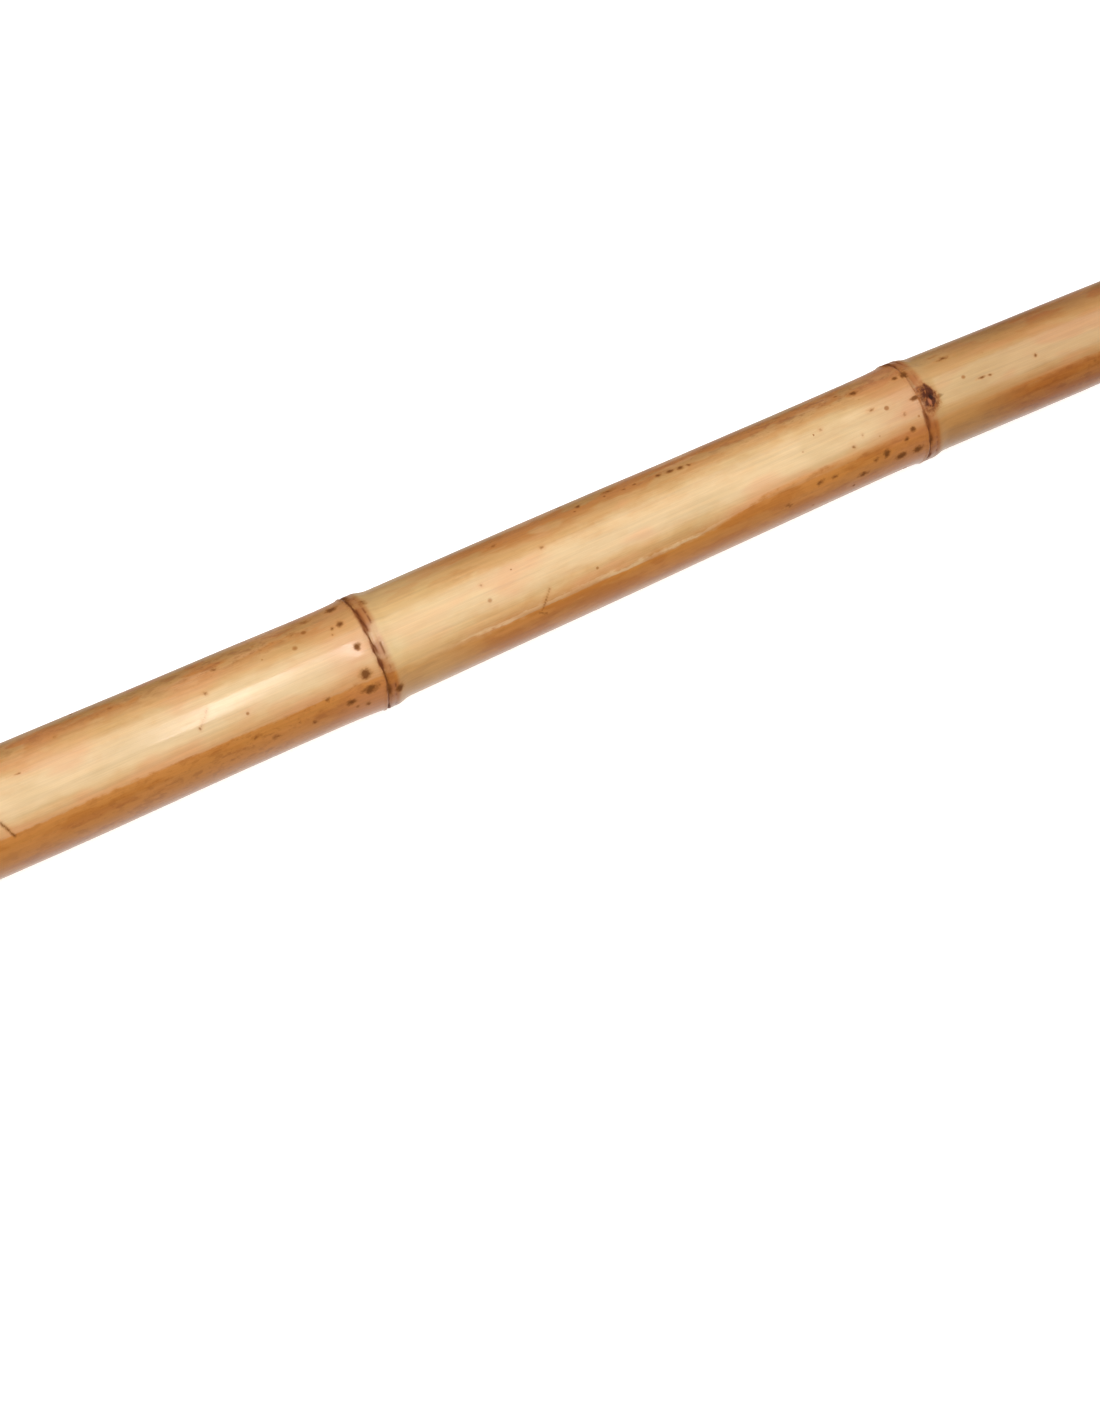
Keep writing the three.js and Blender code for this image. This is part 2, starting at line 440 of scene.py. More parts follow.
def make_cane(materials):
    """The closed surface, with what its materials and the bake need to know at each place."""
    facing = facings()
    rows = cane_rows(facing)
    station = np.stack([row[0] for row in rows])
    radius = np.stack([row[1] for row in rows])
    kinds = [row[2] for row in rows]
    around = np.broadcast_to(facing, station.shape)

    def with_centres(grid):
        return np.concatenate([grid.ravel(), [grid[0].mean(), grid[-1].mean()]])

    flat_station = with_centres(station)
    across = np.append((radius * -np.sin(around)).ravel(), [0, 0])
    up = np.append((radius * np.cos(around)).ravel(), [0, 0])
    place = np.stack([
        flat_station,
        axis_sideways(flat_station) + across,
        axis_height(flat_station) + up,
    ], -1)
    middle = (place.min(0) + place.max(0)) / 2
    home = (CANE_LOW + CANE_HIGH) / 2 / MM
    place += [home.x - middle[0], home.y - middle[1], CANE_LOW.z / MM - place[:, 2].min()]

    mesh = bpy.data.meshes.new("cane_skin")
    faces = grid_faces(*station.shape)
    mesh.from_pydata((place * MM).tolist(), [], faces)

    # The skin's pattern is painted on a straight cylinder, so that its fibres follow every bend.
    painted = np.array([kind == "skin" for kind in kinds])[:, None]
    paint_radius = np.where(painted, NOMINAL_RADIUS, radius)
    culm = np.stack([
        flat_station,
        np.append((paint_radius * -np.sin(around)).ravel(), [0, 0]),
        np.append((paint_radius * np.cos(around)).ravel(), [0, 0]),
    ], -1)
    set_attribute(mesh, "culm", "FLOAT_VECTOR", culm)
    set_attribute(mesh, "wobble", "FLOAT", with_centres(wobble(station, around)))

    add_bake_map(mesh, station, radius, facing)

    order = ["skin", "sawn", "lining"]
    for name in order:
        mesh.materials.append(materials[name])
    columns = facing.size
    between = [max(order.index(a), order.index(b)) for a, b in zip(kinds, kinds[1:])]
    slots = np.repeat(between, columns).tolist() + [order.index("lining")] * (2 * columns)
    mesh.polygons.foreach_set("material_index", slots)
    mesh.polygons.foreach_set("use_smooth", [True] * len(faces))
    mesh.set_sharp_from_angle(angle=math.radians(SHARP_ANGLE))
    mesh.update()
    cane = bpy.data.objects.new("bamboo_cane", mesh)
    bpy.context.scene.collection.objects.link(cane)
    return cane


# ---- Shader nodes ---------------------------------------------------------------------------

def srgb(red, green, blue):
    """A shader colour from the 0 to 255 values that a colour picker shows."""
    def linear(value):
        value /= 255
        return value / 12.92 if value <= 0.04045 else ((value + 0.055) / 1.055) ** 2.4
    return (linear(red), linear(green), linear(blue), 1.0)


class Shader:
    """One material and short calls for the nodes that it is made of."""

    def __init__(self, name):
        self.material = bpy.data.materials.new(name)
        self.material.use_nodes = True
        self.tree = self.material.node_tree
        self.surface = self.tree.nodes["Principled BSDF"]

    def feed(self, socket, value):
        if isinstance(value, bpy.types.NodeSocket):
            self.tree.links.new(value, socket)
        else:
            socket.default_value = value

    def node(self, kind, inputs=(), **settings):
        made = self.tree.nodes.new("ShaderNode" + kind)
        for name, value in settings.items():
            setattr(made, name, value)
        for socket, value in dict(inputs).items():
            self.feed(made.inputs[socket], value)
        return made

    def finish(self, **sockets):
        for name, value in sockets.items():
            self.feed(self.surface.inputs[name.replace("_", " ")], value)
        return self.material

    def attribute(self, name, output="Vector"):
        return self.node("Attribute", attribute_name=name).outputs[output]

    def math(self, operation, *values):
        return self.node("Math", enumerate(values), operation=operation).outputs[0]

    def vector(self, operation, *values):
        return self.node("VectorMath", enumerate(values), operation=operation).outputs[0]

    def length(self, vector):
        return self.node("VectorMath", {0: vector}, operation="LENGTH").outputs["Value"]

    def step(self, value, start, end, low=0.0, high=1.0):
        """low before start and high after end, with a smooth change between them."""
        sockets = {"Value": value, "From Min": start, "From Max": end}
        sockets |= {"To Min": low, "To Max": high}
        return self.node("MapRange", sockets, interpolation_type="SMOOTHSTEP").outputs["Result"]

    def band(self, value, start, full, fade, end):
        """1 between full and fade, and 0 outside start and end."""
        rising, falling = self.step(value, start, full), self.step(value, fade, end, 1, 0)
        return self.math("MULTIPLY", rising, falling)

    def curve(self, value, points):
        """A number that follows straight lines between the points."""
        (start, total), *rest = points
        before = total
        for end, level in rest:
            sockets = {"Value": value, "From Min": start, "From Max": end}
            sockets["To Max"] = level - before
            total = self.math("ADD", self.node("MapRange", sockets).outputs["Result"], total)
            start, before = end, level
        return total

    def noise(self, place, along, across, detail=2.0, roughness=0.5, seed=0.0):
        """Random patches from 0 to 1, about this long along the cane and across it."""
        stretched = self.vector("MULTIPLY", place, (1 / along, 1 / across, 1 / across))
        moved = self.vector("ADD", stretched, (seed, seed * 1.7, seed * 0.6))
        sockets = {"Vector": moved, "Scale": 1.0, "Detail": detail, "Roughness": roughness}
        return self.node("TexNoise", sockets).outputs[0]

    def mix(self, factor, under, over, blend="MIX"):
        sockets = {0: factor, 6: under, 7: over}
        return self.node("Mix", sockets, data_type="RGBA", blend_type=blend).outputs[2]

    def bump(self, height, distance, strength=1.0, normal=None):
        sockets = {"Height": height, "Distance": distance * MM, "Strength": strength}
        if normal is not None:
            sockets["Normal"] = normal
        return self.node("Bump", sockets).outputs["Normal"]


# ---- The skin -------------------------------------------------------------------------------

# PALE round facing 27 is partly a painted highlight; OCHRE on the upper side is partly painted
# shade.
PALE = srgb(213, 180, 131)
GOLD = srgb(205, 158, 102)
OCHRE = srgb(176, 126, 66)
# BROWN paints a side that is partly real stain and partly painted reflection of a neighbouring
# cane.
BROWN = srgb(192, 121, 43)
UMBER = srgb(130, 66, 14)
RUST = srgb(178, 106, 38)
ROSE = srgb(214, 152, 104)
OLIVE = srgb(170, 138, 78)
BLOOM = srgb(216, 188, 132)
# The colour of a painted highlight line beside the brown side's edge.
PAINTED_HIGHLIGHT_LINE = srgb(232, 204, 158)
FLUSH = srgb(204, 134, 84)
RIDGE = srgb(160, 92, 42)
STAIN = srgb(150, 84, 32)
RING_LINE = srgb(98, 46, 10)
SPOT = srgb(106, 58, 12)
HALO = srgb(196, 122, 50)
BARK = srgb(164, 96, 44)
TORN = srgb(74, 28, 8)
PIT = srgb(48, 18, 6)
CORE = srgb(172, 104, 68)
SPUR = srgb(128, 92, 42)

# The ways that the skin is palest, as (facing, strength). Round facing 27 the paleness is partly a
# painted highlight, the broad shine of the softbox above.
PALE_SIDES_AND_HIGHLIGHT = [(27, 1.0), (152, 0.9), (262, 0.95)]

# One side is browner: partly a real mottled stain, and partly a painted reflection of a
# neighbouring cane. It starts at this facing, by station, and fades out between the two
# facings of its end. Its starting edge is sharp, at 1, or softer, by station.
BROWN_SIDE_STARTS = [
    (0, 60), (240, 58), (388, 59), (398, 65), (440, 67),
    (508, 66), (532, 54), (600, 54), (700, 58), (900, 58),
]
BROWN_SIDE_ENDS = (130, 165)
BROWN_SIDE_SHARPNESS = [
    (0, 1), (385, 1), (392, 0.35), (425, 0.5), (440, 1),
    (515, 1), (545, 0.3), (640, 0.4), (900, 0.7),
]

# A painted highlight line runs beside that edge: where it comes in and goes out, by station.
HIGHLIGHT_LINE_SPAN = (404, 425, 505, 522)
HIGHLIGHT_LINE_STRENGTH = 0.42

# Zones by distance past a node's ring: where each starts, is full, begins to fade, and ends.
SPECKLED_ZONE = (-60, -22, -4, -2)
MOTTLED_ZONE = (-75, -35, -2, 10)
FLUSH_ZONE = (-24, -7, -1.5, 0.0)
STAIN_ZONE = (-2.2, -1.0, -0.2, 1.2)
RIDGE_ZONE = (-0.4, 0.3, 1.4, 4.8)
SECOND_LINE_ZONE = (1.5, 1.9, 2.1, 2.6)
BLOOM_ZONE = (2.5, 4, 14, 45)
BLOOM_STRENGTH = 0.35
RING_LINE_PAST = -0.7

# The ring's line is worn away on the branch scar's side of the cane: round this facing, or
# opposite it, as the scar faces.
WORN_FACING = 0

# The skin is darker toward its tip: a tint by station.
DULL_FROM, DULL_TO = 556.0, 622.0
DULL = (0.75, 0.66, 0.54, 1)

# Small random specks: the size of the cells that may each hold one, along and across, and the
# share of them that do, in the speckled zone before a ring and elsewhere.
SPECK_CELL = (5.5, 5.0)
SPECKLED_SHARE, RARE_SHARE = 0.41, 0.05

# Marks on the skin, listed one by one: station, facing, half length, half width, strength.
MARKS = [
    # Round the node at 388.
    (381, -5, 1.2, 1.1, 0.85),
    (381.5, -31, 2.2, 1.6, 0.8),
    (378, -4, 0.9, 1.0, 0.5),
    (377, 3, 0.6, 0.7, 0.4),
    (382.3, 24, 1.1, 1.0, 0.95),
    (381.4, 52, 1.7, 1.5, 1.0),
    (381.6, 69, 3.0, 1.4, 0.85),
    (379.8, 86, 1.5, 1.2, 0.5),
    (367.3, 61, 1.3, 1.1, 0.5),
    (374.2, 75, 1.6, 1.1, 0.8),
    (391.2, 82, 1.4, 1.5, 0.9),
    (391, -19, 1.5, 1.8, 0.6),
    (387.6, -40, 2.0, 3.5, 0.6),
    (387.3, -24, 1.5, 3.0, 0.4),
    (387.5, 62, 1.0, 4.5, 0.5),
    (387.6, 79, 1.2, 4.0, 0.6),
    (358, -18, 0.7, 1.4, 0.3),
    (303, -22, 1.6, 1.1, 0.4),
    (338, -15, 2.2, 1.1, 0.35),
    (366, -18, 2.2, 1.3, 0.35),
    (372, -31, 3.5, 1.8, 0.4),
    (341, 68, 1.3, 1.1, 0.45),
    (348, 77, 2.0, 1.3, 0.5),
    (356, 72, 1.2, 1.0, 0.4),
    (361, 80, 1.6, 1.1, 0.45),
    (325.3, 37, 0.6, 0.8, 0.5),
    (331.5, 7, 1.1, 0.9, 0.4),
    (283, -14, 1.1, 1.0, 0.25),
    (268, 8, 3.0, 0.5, 0.3),
    # Round the node at 598.
    (578.3, -16, 1.6, 0.9, 0.9),
    (572.4, -24, 1.0, 0.8, 0.5),
    (594, -10, 1.1, 0.9, 0.8),
    (597.4, -9, 1.4, 1.6, 0.9),
    (596.6, -42, 1.7, 3.5, 0.6),
    (597.4, 74, 0.9, 4.0, 0.5),
    (596, 23, 1.4, 0.8, 0.95),
    (580, 15, 1.6, 0.8, 0.35),
    (590.2, 35, 1.0, 1.0, 0.45),
    (573, 37, 0.6, 1.0, 0.3),
    (568.4, 45, 1.1, 1.0, 0.45),
    (591.3, 54, 1.1, 1.2, 0.85),
    (588.4, 62, 1.2, 1.1, 0.6),
    (580, 68, 1.3, 1.8, 0.9),
    (585.5, 80, 2.0, 1.3, 0.95),
    (592.4, 81, 1.8, 1.4, 0.9),
    (575.5, 70, 1.4, 1.2, 0.6),
    (570, 82, 2.4, 1.1, 0.7),
    (560, 12, 1.0, 1.0, 0.3),
    (553, 67, 2.2, 1.3, 0.5),
    (622, 30, 1.6, 0.5, 0.7),
    (625.4, 31, 1.0, 0.5, 0.6),
    (644, 30, 0.8, 0.8, 0.6),
    (614, -12, 3.4, 1.3, 0.5),
    (612, -22, 3.0, 1.2, 0.35),
    (559, 68, 1.8, 1.3, 0.5),
    (540, 78, 3.0, 1.5, 0.4),
    # Between them.
    (453, 7, 1.0, 0.9, 0.4),
    (428.5, 18, 1.0, 0.8, 0.3),
    (440, -22, 3.0, 1.2, 0.35),
    (484, -31, 4.0, 1.5, 0.4),
    (472, -26, 1.2, 1.0, 0.7),
    (470, -20, 0.8, 0.7, 0.4),
    (482, -24, 0.9, 0.8, 0.5),
    (489, -22, 1.0, 0.7, 0.5),
    (493, -22, 1.1, 0.8, 0.55),
    (502, -20, 1.2, 0.8, 0.7),
    (506, -19, 1.5, 1.0, 0.75),
    (510, -17, 1.3, 0.9, 0.8),
    (513, -16, 1.0, 0.8, 0.6),
]

# Short scratches across the skin, from one (station, facing) to another, with their strength.
SCRATCHES = [
    ((257, 44), (259.4, 60), 0.55),
    ((444.5, 71), (449.5, 50), 0.35),
    ((444, 70), (446.5, 76), 0.3),
    ((330, 22), (325.5, 37), 0.2),
]
SCRATCH_HALF_SIZE = (0.7, 0.9)
SCRATCH_STEPS = 10

FAR_OFF = 100  # takes the cane's other side out of the reach of a branch scar's pattern


def on_cylinder(station, facing):
    """The point of the painted cylinder at this station and facing."""
    turned = math.radians(facing)
    return (station, -math.sin(turned) * NOMINAL_RADIUS, math.cos(turned) * NOMINAL_RADIUS)


def toward(shader, place, facing):
    """1 where the skin faces this way round the cane, falling to -1 on the far side."""
    _, y, z = on_cylinder(0, facing)
    across = (0, y / NOMINAL_RADIUS**2, z / NOMINAL_RADIUS**2)
    product = shader.node("VectorMath", {0: place, 1: across}, operation="DOT_PRODUCT")
    return product.outputs["Value"]


def nearest_ring(shader, place):
    """Distance past the nearest node's ring, and 1 or -1 for the way that its branch scar faces."""
    station = shader.node("SeparateXYZ", {0: place}).outputs[0]
    ring, side = stations_of_nodes[0], -1.0
    for before, after in zip(NODES, NODES[1:]):
        passed = shader.math("GREATER_THAN", station, (before[0] + after[0]) / 2)
        ring = shader.math("MULTIPLY_ADD", passed, after[0] - before[0], ring)
        side = shader.math("MULTIPLY_ADD", passed, 2.0 if after[2] < before[2] else -2.0, side)
    ring = shader.math("ADD", ring, shader.attribute("wobble", "Fac"))
    return shader.math("SUBTRACT", station, ring), side


def blots(shader, place, ragged, rows):
    """How far inside the nearest of some ellipses: above 0 within its ragged, soft edge."""
    strongest = None
    for centre, half_size, strength in rows:
        scale = tuple(1 / half for half in half_size)
        offset = tuple(-c * s for c, s in zip(centre, scale))
        reach = shader.length(shader.vector("MULTIPLY_ADD", place, scale, offset))
        mark = shader.math("MULTIPLY_ADD", reach, -(1 + strength) / 2, 1.5 * strength)
        strongest = mark if strongest is None else shader.math("MAXIMUM", strongest, mark)
    return shader.math("MULTIPLY_ADD", ragged, -1.5, shader.math("ADD", strongest, 0.75))


def scratch_marks():
    """The scratches, as closely spaced marks."""
    for start, end, strength in SCRATCHES:
        for station, facing in np.linspace(start, end, SCRATCH_STEPS):
            yield station, facing, *SCRATCH_HALF_SIZE, strength


def placed(marks):
    """Marks given by station and facing, as rows for blots."""
    for station, facing, half_length, half_width, strength in marks:
        yield on_cylinder(station, facing), (half_length, half_width, half_width), strength


def on_scar(lumps, spread):
    """Lumps of the branch scar, as rows for blots."""
    for along, round_, half_length, half_width, _ in lumps:
        yield (along, round_, 0), (half_length * spread, half_width * spread, 1), 1.0


def scattered_specks(shader, place, past):
    """Small round specks at random, thick just before a node's ring and rare elsewhere."""
    along, across = SPECK_CELL
    stretched = shader.vector("MULTIPLY", place, (1 / along, 1 / across, 1 / across))
    cells = shader.node("TexVoronoi", {"Vector": stretched, "Scale": 1.0, "Randomness": 1.0})
    parts = shader.node("SeparateColor", {0: cells.outputs["Color"]})
    crowd = shader.band(past, *SPECKLED_ZONE)
    share = shader.math("MULTIPLY_ADD", crowd, SPECKLED_SHARE - RARE_SHARE, RARE_SHARE)
    chosen = shader.math("LESS_THAN", parts.outputs[0], share)
    size = shader.math("MULTIPLY_ADD", parts.outputs[1], 0.12, 0.06)
    near = shader.math("DIVIDE", cells.outputs["Distance"], size)
    speck = shader.step(near, 0.6, 1.5, 1, 0)
    fade = shader.math("MULTIPLY_ADD", parts.outputs[2], 0.5, 0.35)
    return shader.math("MULTIPLY", shader.math("MULTIPLY", speck, chosen), fade)


def pale_and_highlight_share(shader, place, broad, blotches, mottles):
    """How pale the skin is: about 1 on its palest sides, partly a painted highlight round facing
    27, with uneven edges.
    """
    uneven = shader.math("MULTIPLY_ADD", broad, 0.2, -0.1)
    uneven = shader.math("MULTIPLY_ADD", blotches, 0.2, shader.math("ADD", uneven, -0.1))
    uneven = shader.math("MULTIPLY_ADD", mottles, 0.14, shader.math("ADD", uneven, -0.07))
    pale = None
    for side, strength in PALE_SIDES_AND_HIGHLIGHT:
        near = shader.math("ADD", toward(shader, place, side), uneven)
        near = shader.math("MULTIPLY", near, strength)
        pale = near if pale is None else shader.math("MAXIMUM", pale, near)
    return pale


def patchy_colour_with_painted_light(shader, place, pale):
    """Pale round facing 27, partly as a painted highlight, to ochre away from it, partly as painted
    shade, with rosy and olive clouds.
    """
    clouds = shader.noise(place, 26, 10, detail=2, seed=6)
    colour = shader.mix(shader.step(pale, 0.55, 0.93), OCHRE, GOLD)
    colour = shader.mix(shader.step(pale, 0.84, 1.02), colour, PALE)
    colour = shader.mix(shader.step(clouds, 0.5, 0.66, 0, 0.45), colour, ROSE)
    return shader.mix(shader.step(clouds, 0.48, 0.32, 0, 0.18), colour, OLIVE)


def stain_and_reflection_side_colour(shader, place, streaks, mottles, colour):
    """The brown side, partly real stain and partly painted reflection of a neighbouring cane, with
    its rosy border and a painted highlight line, and an edge that follows the fibres.

    Gives the colour, and how brown the skin is there.
    """
    station, y, z = shader.node("SeparateXYZ", {0: place}).outputs
    facing = shader.math("ARCTAN2", shader.math("MULTIPLY", y, -1), z)
    facing = shader.math("MULTIPLY", facing, 180 / math.pi)
    into_brown_side = shader.math("SUBTRACT", facing, shader.curve(station, BROWN_SIDE_STARTS))
    into_brown_side = shader.math("MULTIPLY_ADD", streaks, 10, shader.math("ADD", into_brown_side, -5))
    into_brown_side = shader.math("MULTIPLY_ADD", mottles, 9, shader.math("ADD", into_brown_side, -4.5))
    over = shader.step(facing, *BROWN_SIDE_ENDS, 1, 0)
    # A rosy border, part of the painted reflection, leading into the brown side.
    rosy_reflection_border = shader.math("MULTIPLY", shader.step(into_brown_side, -16, 4, 0, 0.35), over)
    # The brown side: partly real stain, partly painted reflection of a neighbouring cane.
    edge = shader.math("MULTIPLY", into_brown_side, shader.curve(station, BROWN_SIDE_SHARPNESS))
    brown = shader.math("MULTIPLY", shader.step(edge, -1.5, 2, 0, 0.8), over)
    colour = shader.mix(rosy_reflection_border, colour, ROSE)
    colour = shader.mix(brown, colour, BROWN)
    # A painted highlight line just before the brown side's edge.
    beside = shader.band(into_brown_side, -5, -3.5, -2, -0.5)
    highlight_line = shader.math("MULTIPLY", beside, shader.band(station, *HIGHLIGHT_LINE_SPAN))
    highlight_line = shader.math("MULTIPLY", highlight_line, HIGHLIGHT_LINE_STRENGTH)
    return shader.mix(highlight_line, colour, PAINTED_HIGHLIGHT_LINE), brown


def mottled_colour(shader, place, past, away, broad, blotches, mottles, colour):
    """Rusty and umber mottles, which lie away from the pale sides."""
    rusty = shader.math("MULTIPLY", away, shader.step(blotches, 0.45, 0.57, 0, 0.7))
    colour = shader.mix(rusty, colour, RUST)
    grit = shader.noise(place, 1.9, 1.1, detail=3, seed=10)
    grit = shader.step(grit, 0.56, 0.7, 0, 0.4)
    dark = shader.math("MAXIMUM", grit, shader.step(mottles, 0.49, 0.64, 0, 0.6))
    dark = shader.math("MULTIPLY", dark, shader.step(broad, 0.38, 0.58, 0.3, 1))
    near_ring = shader.band(past, *MOTTLED_ZONE)
    dark = shader.math("MULTIPLY", dark, shader.math("MULTIPLY_ADD", near_ring, 0.5, 0.5))
    return shader.mix(shader.math("MULTIPLY", away, dark), colour, UMBER)


def skin_colour(shader, place, past, streaks, fibres):
    """The skin without its marks: patches with painted highlight and shade, the brown side with its
    painted reflection, and the zones round each node.
    """
    broad = shader.noise(place, 130, 26, seed=1)
    blotches = shader.noise(place, 17, 6, detail=3, seed=5)
    mottles = shader.noise(place, 5.0, 2.5, detail=5, roughness=0.6, seed=7)
    pale = pale_and_highlight_share(shader, place, broad, blotches, mottles)
    # Pale round facing 27 is partly a painted highlight; the darker ochre away from it is partly
    # painted shade.
    colour = patchy_colour_with_painted_light(shader, place, pale)
    # The brown side is partly real stain and partly painted reflection of a neighbouring cane.
    colour, brown = stain_and_reflection_side_colour(shader, place, streaks, mottles, colour)
    away = shader.math("MAXIMUM", shader.step(pale, 0.95, 0.68), brown)
    colour = mottled_colour(shader, place, past, away, broad, blotches, mottles, colour)

    flush = shader.band(past, *FLUSH_ZONE)
    flush = shader.math("MULTIPLY", flush, shader.step(blotches, 0.35, 0.6, 0.2, 0.5))
    colour = shader.mix(flush, colour, FLUSH)
    bloom = shader.band(past, *BLOOM_ZONE)
    colour = shader.mix(shader.math("MULTIPLY", bloom, BLOOM_STRENGTH), colour, BLOOM)

    shade = shader.step(streaks, 0.3, 0.7, 0.945, 1.045)
    fine = shader.step(fibres, 0.3, 0.7, 0.96, 1.03)
    shade = shader.math("MULTIPLY", shade, fine)
    shades = shader.node("CombineColor", {0: shade, 1: shade, 2: shade}).outputs[0]
    colour = shader.mix(1.0, colour, shades, blend="MULTIPLY")
    station = shader.node("SeparateXYZ", {0: place}).outputs[0]
    return shader.mix(shader.step(station, DULL_FROM, DULL_TO), colour, DULL, blend="MULTIPLY")


def ring_colour(shader, place, past, side, colour):
    """The brown stain and dark line where a sheath grew, and the ridge and second line past it.

    Gives the colour, and the share of it that is a line.
    """
    worn = shader.noise(place, 6, 5, detail=3, seed=8)
    grain = shader.noise(place, 0.9, 3.5, detail=3, seed=12)
    worn_away = shader.math("MULTIPLY", toward(shader, place, WORN_FACING), side)
    kept = shader.step(worn_away, 0.86, 0.98, 1, 0.3)
    ridge = shader.band(past, *RIDGE_ZONE)
    ridge = shader.math("MULTIPLY", ridge, shader.step(worn, 0.35, 0.6, 0.25, 0.75))
    colour = shader.mix(ridge, colour, RIDGE)
    stain = shader.band(past, *STAIN_ZONE)
    stain = shader.math("MULTIPLY", stain, shader.step(worn, 0.35, 0.6, 0.3, 0.9))
    colour = shader.mix(shader.math("MULTIPLY", stain, kept), colour, STAIN)
    off_line = shader.math("ABSOLUTE", shader.math("ADD", past, -RING_LINE_PAST))
    width = shader.step(worn, 0.35, 0.65, 0.3, 0.9)
    line = shader.step(shader.math("DIVIDE", off_line, width), 0.4, 1.5, 0.95, 0)
    line = shader.math("MULTIPLY", line, shader.step(grain, 0.35, 0.6, 1, 0.55))
    second = shader.band(past, *SECOND_LINE_ZONE)
    second = shader.math("MULTIPLY", second, shader.step(worn, 0.48, 0.62, 0.0, 0.6))
    line = shader.math("MULTIPLY", shader.math("MAXIMUM", line, second), kept)
    return shader.mix(line, colour, RING_LINE), line


def scar_colour(shader, place, past, side, colour):
    """Dark torn fibres round a branch scar's pit and its paler core.

    Gives the colour, and the share of it that is torn wood.
    """
    scar_faces = NODES[1][2]
    round_ = shader.math("MULTIPLY", toward(shader, place, scar_faces + 90), side)
    round_ = shader.math("MULTIPLY", round_, NOMINAL_RADIUS)
    facing_it = shader.math("MULTIPLY", toward(shader, place, scar_faces), side)
    behind = shader.math("MULTIPLY", shader.math("LESS_THAN", facing_it, 0), FAR_OFF)
    along = shader.math("SUBTRACT", past, SCAR_OFFSET)
    scar = shader.node("CombineXYZ", {0: along, 1: round_, 2: behind}).outputs[0]
    ragged = shader.noise(place, 2.6, 2.6, detail=2.5, roughness=0.65, seed=9)
    scale = (1 / SCAR_REACH[0], 1 / SCAR_REACH[1], 1)
    out = shader.length(shader.vector("MULTIPLY", scar, scale))
    out = shader.math("MULTIPLY_ADD", ragged, 1.6, shader.math("ADD", out, -0.8))
    spur = shader.step(blots(shader, scar, ragged, on_scar([SCAR_SPUR], 1.1)), 0.2, 1.1, 0, 0.75)
    core = shader.step(blots(shader, scar, ragged, on_scar([SCAR_CORE], 1.0)), 0.3, 1.0, 0, 0.85)
    pit = shader.step(blots(shader, scar, ragged, on_scar([SCAR_PIT], 0.9)), 0.3, 1.1)
    torn = shader.step(out, 0.7, 1.2, 0.95, 0)
    colour = shader.mix(spur, colour, SPUR)
    colour = shader.mix(shader.step(out, 0.95, 1.5, 0.75, 0), colour, BARK)
    fibre = shader.noise(scar, 0.9, 1.5, detail=3, seed=16)
    colour = shader.mix(torn, colour, shader.mix(shader.step(fibre, 0.5, 0.7, 0, 0.7), TORN, BARK))
    colour = shader.mix(core, colour, CORE)
    return shader.mix(pit, colour, PIT), shader.math("MAXIMUM", torn, pit)


def skin_material():
    """Waxy skin, which is dull and rough where it is marked, ringed or torn."""
    shader = Shader("bamboo_skin")
    place = shader.attribute("culm")
    past, side = nearest_ring(shader, place)
    streaks = shader.noise(place, 55, 1.5, detail=4, roughness=0.6, seed=2)
    fibres = shader.noise(place, 14, 0.32, detail=3, roughness=0.6, seed=3)
    colour = skin_colour(shader, place, past, streaks, fibres)

    ragged = shader.noise(place, 1.6, 1.3, detail=2, roughness=0.6, seed=4)
    inside = blots(shader, place, ragged, placed([*MARKS, *scratch_marks()]))
    specks = scattered_specks(shader, place, past)
    halo = shader.math("MAXIMUM", shader.step(inside, -0.8, 1.2), shader.step(specks, 0, 0.4))
    colour = shader.mix(shader.math("MULTIPLY", halo, 0.5), colour, HALO)
    colour, ring = ring_colour(shader, place, past, side, colour)
    marks = shader.math("MAXIMUM", shader.step(inside, -0.1, 1.0, 0, 0.92), specks)
    colour = shader.mix(marks, colour, SPOT)
    colour, torn = scar_colour(shader, place, past, side, colour)

    height = shader.math("MULTIPLY_ADD", marks, -0.5, fibres)
    normal = shader.bump(height, 0.04, 0.5)
    normal = shader.bump(streaks, 0.1, 0.4, normal)
    dry = shader.math("MAXIMUM", shader.math("MAXIMUM", marks, ring), torn)
    roughness = shader.math("MULTIPLY_ADD", dry, 0.35, shader.step(streaks, 0.3, 0.7, 0.32, 0.44))
    coat = shader.step(dry, 0, 0.7, 0.5, 0)
    return shader.finish(
        Base_Color=colour, Roughness=roughness, Normal=normal,
        Coat_Weight=coat, Coat_Roughness=0.135, Specular_IOR_Level=0.2, IOR=1.5,
    )


# ---- The sawn faces and the open ends -------------------------------------------------------

SAWN_WOOD = srgb(214, 188, 140)
SAWN_WARM = srgb(200, 158, 100)
SAWN_DARK = srgb(150, 108, 62)
LINING = srgb(226, 204, 160)
LINING_DARK = srgb(176, 138, 88)


def sawn_material():
    """End grain: pale wood dotted with dark vascular bundles, with faint saw lines."""
    shader = Shader("bamboo_sawn_face")
    place = shader.attribute("culm")
    flattened = shader.vector("MULTIPLY", place, (0.02, 1, 1))
    bundles = shader.node("TexVoronoi", {"Vector": flattened, "Scale": 1.25, "Randomness": 0.8})
    dot = shader.step(bundles.outputs["Distance"], 0.16, 0.34, 0.85, 0)
    cloudy = shader.noise(place, 3, 3, detail=3, seed=12)
    colour = shader.mix(shader.step(cloudy, 0.35, 0.65), SAWN_WOOD, SAWN_WARM)
    colour = shader.mix(dot, colour, SAWN_DARK)
    saw_lines = shader.noise(place, 50, 0.4, detail=2, seed=13)
    height = shader.math("MULTIPLY_ADD", dot, -0.8, saw_lines)
    return shader.finish(Base_Color=colour, Roughness=0.8, Normal=shader.bump(height, 0.15))


